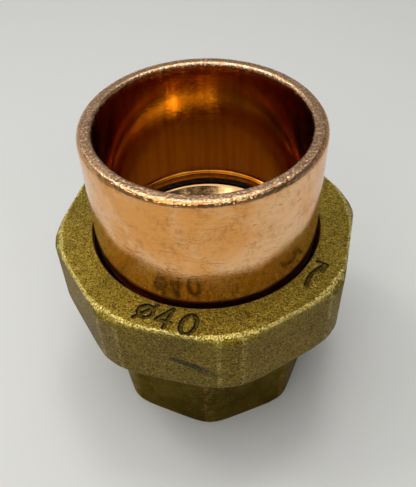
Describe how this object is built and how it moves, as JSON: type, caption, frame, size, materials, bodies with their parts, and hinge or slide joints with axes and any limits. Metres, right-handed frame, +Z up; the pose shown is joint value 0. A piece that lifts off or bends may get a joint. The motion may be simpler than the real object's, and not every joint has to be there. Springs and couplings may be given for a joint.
{
  "type": "pipe union",
  "caption": "Copper-to-brass pipe union with solder cups at both ends, an octagonal coupling nut on a threaded body and a flat gasket.",
  "frame": {"origin": "on the union's axis, at the lower end face of the body that it stands on", "axes": "+Z up along the common axis of both solder cups, from the body's cup to the tail's cup; +X to the right seen from the front"},
  "size_m": [0.0646, 0.0646, 0.0695],
  "materials": {
    "cast_brass": "fine satin cast and machined brass",
    "blasted_brass": "grainy blasted brass",
    "drawn_copper": "satin drawn copper",
    "black_rubber": "matt moulded rubber"
  },
  "bodies": {
    "body": {"union_body": "cast_brass"},
    "washer": {"seat_gasket": "black_rubber"},
    "tail": {"tail_piece": "drawn_copper"},
    "nut": {"union_nut": "blasted_brass"}
  },
  "joints": [
    {"name": "lift", "type": "slide", "parent": "body", "child": "washer", "axis": [0, 0, 1], "range_m": [0, 0.00983]},
    {"name": "nut_turn", "type": "hinge", "parent": "washer", "child": "nut", "pos_m": [0, 0, 0.0275], "axis": [0, 0, 1], "range_deg": [0, 1530]},
    {"name": "tail_swivel", "type": "hinge", "parent": "washer", "child": "tail", "pos_m": [0, 0, 0.0392], "axis": [0, 0, 1], "continuous": true}
  ],
  "couplings": [
    {"joint": "lift", "follows": "nut_turn", "m_per_rad": 0.00036765}
  ]
}
